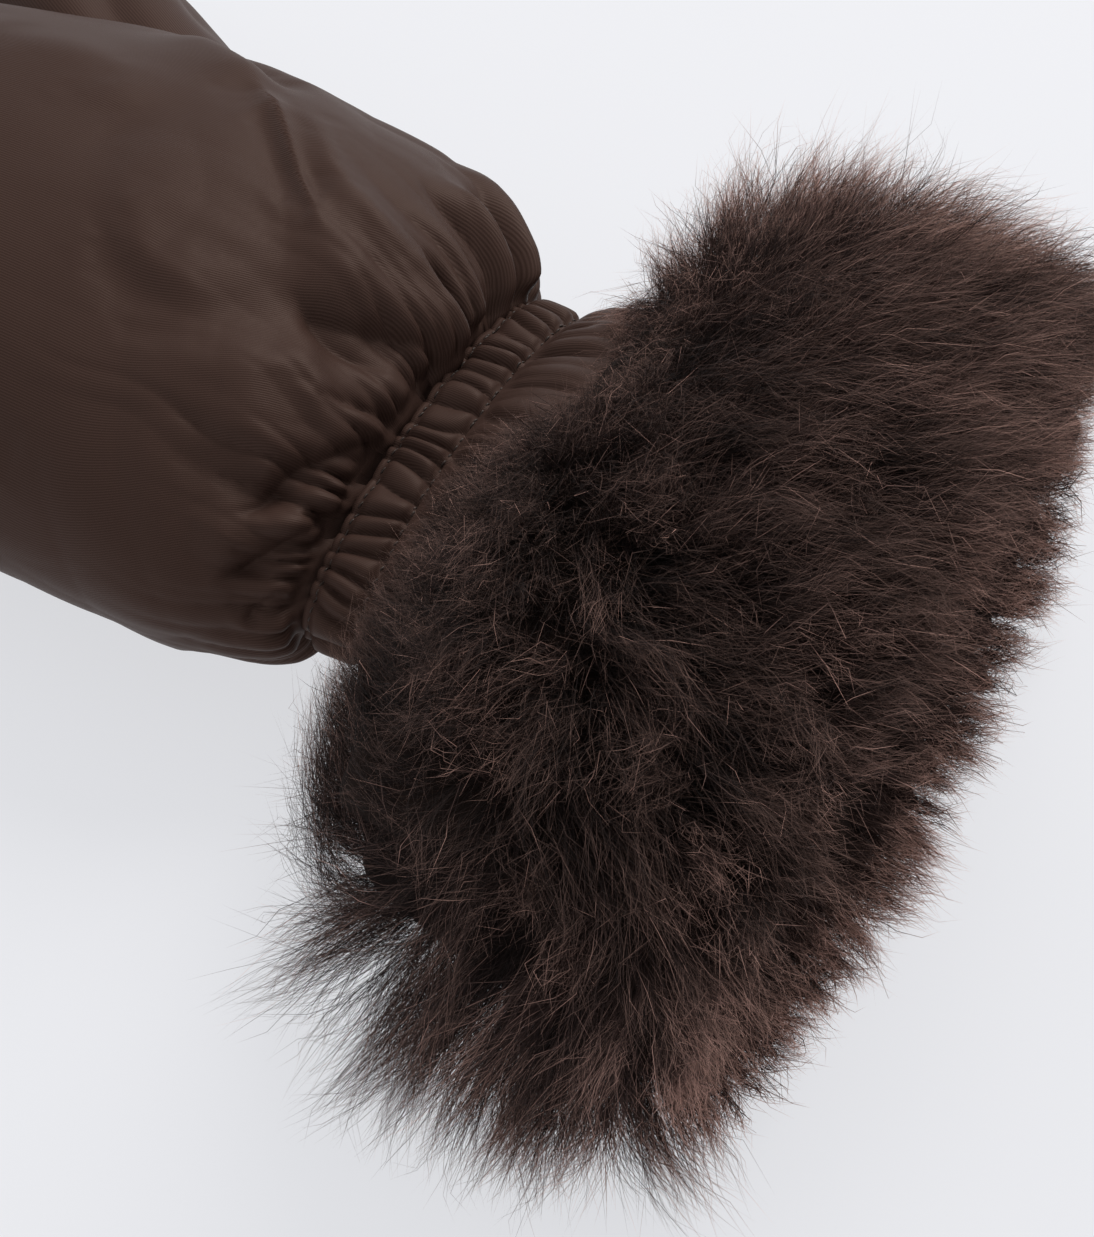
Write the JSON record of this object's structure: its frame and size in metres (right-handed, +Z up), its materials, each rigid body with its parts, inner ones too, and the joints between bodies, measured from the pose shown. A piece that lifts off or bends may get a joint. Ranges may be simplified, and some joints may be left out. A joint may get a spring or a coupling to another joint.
{
  "type": "down mitten",
  "caption": "Padded nylon mitten with a gathered elastic wrist, a plain gauntlet and a wide flared cuff of long fur.",
  "frame": {"origin": "middle of the footprint, on the surface that the mitten lies on", "axes": "+Y along the hand towards the fingertips, +X towards the thumb, +Z up from the surface, palm down"},
  "size_m": [0.2148, 0.3054, 0.1],
  "materials": {
    "nylon_shell": "matte faille nylon over down, dark brown",
    "nylon_band": "gathered faille nylon over elastic, dark brown",
    "fur": "long dark brown fur with paler tips"
  },
  "bodies": {
    "root": {"hand_shell": "nylon_shell", "thumb_shell": "nylon_shell", "wrist_band": "nylon_band", "cuff_band": "nylon_shell", "fur_cuff": "fur"}
  },
  "joints": []
}
